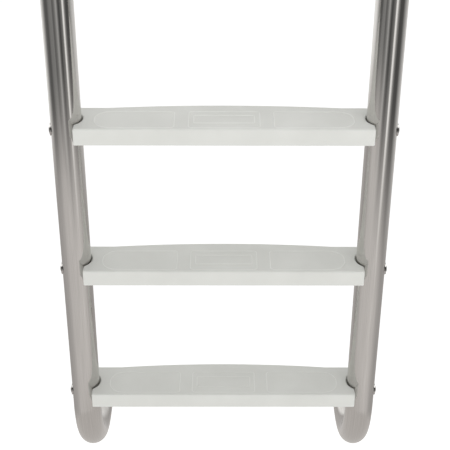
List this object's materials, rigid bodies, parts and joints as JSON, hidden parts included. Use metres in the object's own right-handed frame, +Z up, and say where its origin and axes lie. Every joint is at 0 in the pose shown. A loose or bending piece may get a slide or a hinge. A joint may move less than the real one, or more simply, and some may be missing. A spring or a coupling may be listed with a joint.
{
  "type": "pool ladder",
  "caption": "In-ground pool ladder with two bent stainless tube rails, moulded plastic treads bolted between them, rubber wall bumpers and loose deck escutcheons.",
  "frame": {"origin": "midway between the two deck legs, in the plane of the deck's surface", "axes": "+X across the ladder to the right as a bather in the pool sees it, +Y from the pool towards the deck, +Z up"},
  "size_m": [0.6096, 0.7025, 1.6904],
  "materials": {
    "rail_steel": "polished stainless tube with fine lengthwise grain",
    "tread_plastic": "moulded off-white plastic with a fine grip texture on top",
    "fastener_steel": "plain stainless fasteners",
    "bumper_rubber": "soft grey rubber",
    "escutcheon_steel": "polished stainless sheet"
  },
  "bodies": {
    "ladder": {"left_rail": "rail_steel", "right_rail": "rail_steel", "top_tread": "tread_plastic", "middle_tread": "tread_plastic", "bottom_tread": "tread_plastic", "top_left_bolt": "fastener_steel", "top_right_bolt": "fastener_steel", "middle_left_bolt": "fastener_steel", "middle_right_bolt": "fastener_steel", "bottom_left_bolt": "fastener_steel", "bottom_right_bolt": "fastener_steel", "top_left_washer": "fastener_steel", "top_right_washer": "fastener_steel", "middle_left_washer": "fastener_steel", "middle_right_washer": "fastener_steel", "bottom_left_washer": "fastener_steel", "bottom_right_washer": "fastener_steel", "top_left_nut": "fastener_steel", "top_right_nut": "fastener_steel", "middle_left_nut": "fastener_steel", "middle_right_nut": "fastener_steel", "bottom_left_nut": "fastener_steel", "bottom_right_nut": "fastener_steel", "left_bumper": "bumper_rubber", "right_bumper": "bumper_rubber"},
    "left_escutcheon_cover": {"left_escutcheon": "escutcheon_steel"},
    "right_escutcheon_cover": {"right_escutcheon": "escutcheon_steel"}
  },
  "joints": [
    {"name": "left_escutcheon_slide", "type": "slide", "parent": "ladder", "child": "left_escutcheon_cover", "axis": [0, 0, 1], "range_m": [0, 0.27]},
    {"name": "right_escutcheon_slide", "type": "slide", "parent": "ladder", "child": "right_escutcheon_cover", "axis": [0, 0, 1], "range_m": [0, 0.27]}
  ]
}
